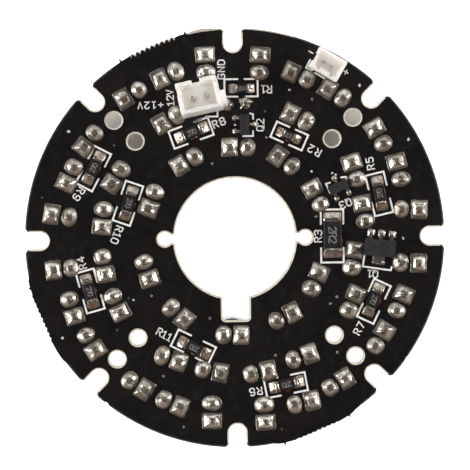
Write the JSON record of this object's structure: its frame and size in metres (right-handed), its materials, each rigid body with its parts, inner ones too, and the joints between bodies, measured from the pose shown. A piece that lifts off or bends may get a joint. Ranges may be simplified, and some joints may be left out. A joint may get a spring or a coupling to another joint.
{
  "type": "infrared illuminator",
  "caption": "Round infrared illuminator board for a camera: black disc with a lens hole and rim slots, solder side up, ringed by clear lamps on its far side.",
  "frame": {"origin": "under the board's centre, at the level of the lamps' tips, on which the part lies", "axes": "+Z towards the solder side, +Y away from the key slot of the lens hole, +X to the right seen from the solder side"},
  "size_m": [0.0596, 0.0597, 0.0168],
  "materials": {
    "board_black_mask": "black solder mask on glass-epoxy laminate, semi-gloss, cream laminate at the cut edges",
    "clear_epoxy": "water-clear moulded epoxy",
    "emitter_die": "dark semiconductor die",
    "tinned_steel_lead": "tinned steel lead frame",
    "solder": "tin solder, bright to satin",
    "tinned_cap": "tin plating",
    "resistor_body": "black overglaze on a white ceramic chip",
    "package_black": "moulded epoxy, matt black",
    "connector_white": "moulded natural nylon, satin",
    "tinned_brass_pin": "tinned brass",
    "sensor_ceramic": "pressed ceramic, matt",
    "sensor_film": "light-sensitive film"
  },
  "bodies": {
    "root": {"chip_resistor_solder": "solder", "circuit_board": "board_black_mask", "inner_led_anode_leads": "tinned_steel_lead", "inner_led_cathode_leads": "tinned_steel_lead", "inner_led_dies": "emitter_die", "inner_led_lenses": "clear_epoxy", "ircut_header_housing": "connector_white", "ircut_header_pins": "tinned_brass_pin", "ircut_header_solder": "solder", "led_round_pad_solder": "solder", "led_square_pad_solder": "solder", "light_sensor_body": "sensor_ceramic", "light_sensor_film": "sensor_film", "light_sensor_leads": "tinned_steel_lead", "light_sensor_solder": "solder", "light_sensor_window": "clear_epoxy", "middle_led_anode_leads": "tinned_steel_lead", "middle_led_cathode_leads": "tinned_steel_lead", "middle_led_dies": "emitter_die", "middle_led_lenses": "clear_epoxy", "outer_led_anode_leads": "tinned_steel_lead", "outer_led_cathode_leads": "tinned_steel_lead", "outer_led_dies": "emitter_die", "outer_led_lenses": "clear_epoxy", "power_header_housing": "connector_white", "power_header_pins": "tinned_brass_pin", "power_header_solder": "solder", "q1_leads": "tinned_cap", "q1_package": "package_black", "q2_leads": "tinned_cap", "q2_package": "package_black", "q3_leads": "tinned_cap", "q3_package": "package_black", "r10_body": "resistor_body", "r10_end_caps": "tinned_cap", "r11_body": "resistor_body", "r11_end_caps": "tinned_cap", "r1_body": "resistor_body", "r1_end_caps": "tinned_cap", "r2_body": "resistor_body", "r2_end_caps": "tinned_cap", "r3_body": "resistor_body", "r3_end_caps": "tinned_cap", "r4_body": "resistor_body", "r4_end_caps": "tinned_cap", "r5_body": "resistor_body", "r5_end_caps": "tinned_cap", "r6_body": "resistor_body", "r6_end_caps": "tinned_cap", "r7_body": "resistor_body", "r7_end_caps": "tinned_cap", "r8_body": "resistor_body", "r8_end_caps": "tinned_cap", "r9_body": "resistor_body", "r9_end_caps": "tinned_cap", "transistor_solder": "solder"}
  },
  "joints": []
}
